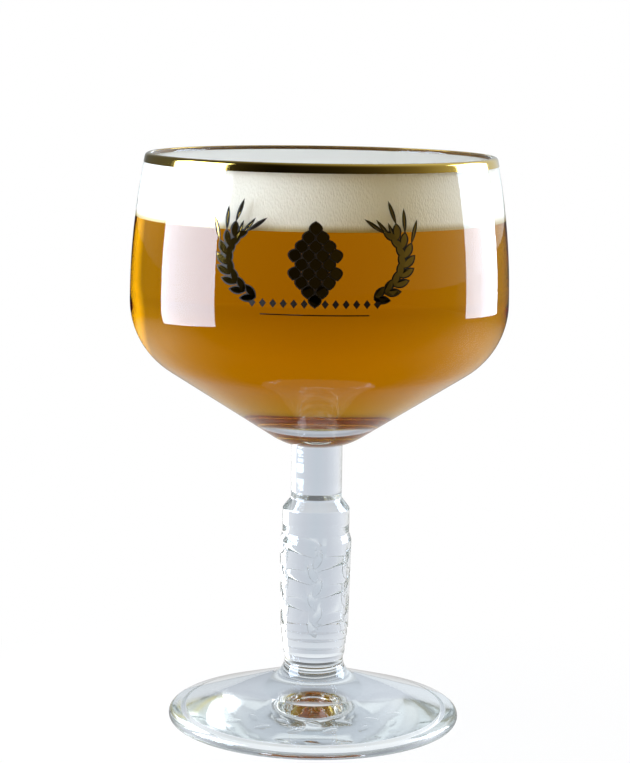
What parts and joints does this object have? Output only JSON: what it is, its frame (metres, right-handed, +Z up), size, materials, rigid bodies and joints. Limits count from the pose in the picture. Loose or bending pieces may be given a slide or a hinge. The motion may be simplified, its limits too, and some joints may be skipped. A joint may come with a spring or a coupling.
{
  "type": "chalice beer glass",
  "caption": "Stemmed chalice beer glass: a wide thin-walled bowl with a gilt lip and a fill line, on a pressed stem with a banded grip and a round foot that is dished beneath.",
  "frame": {"origin": "centre of the foot's contact ring, on the table", "axes": "+Z up the axis of the glass, -Y towards its decorated front, +X to the right of someone who faces the front"},
  "size_m": [0.101, 0.101, 0.1541],
  "materials": {
    "clear_glass": "fire-polished soda-lime glass",
    "gilding": "bright fired gold",
    "enamel": "dark fired enamel",
    "beer": "slightly hazy amber drink",
    "froth": "fine-bubbled froth"
  },
  "bodies": {
    "root": {"bowl": "clear_glass", "stem": "clear_glass", "foot": "clear_glass", "rim_band": "gilding", "fill_line": "enamel"}
  },
  "joints": []
}
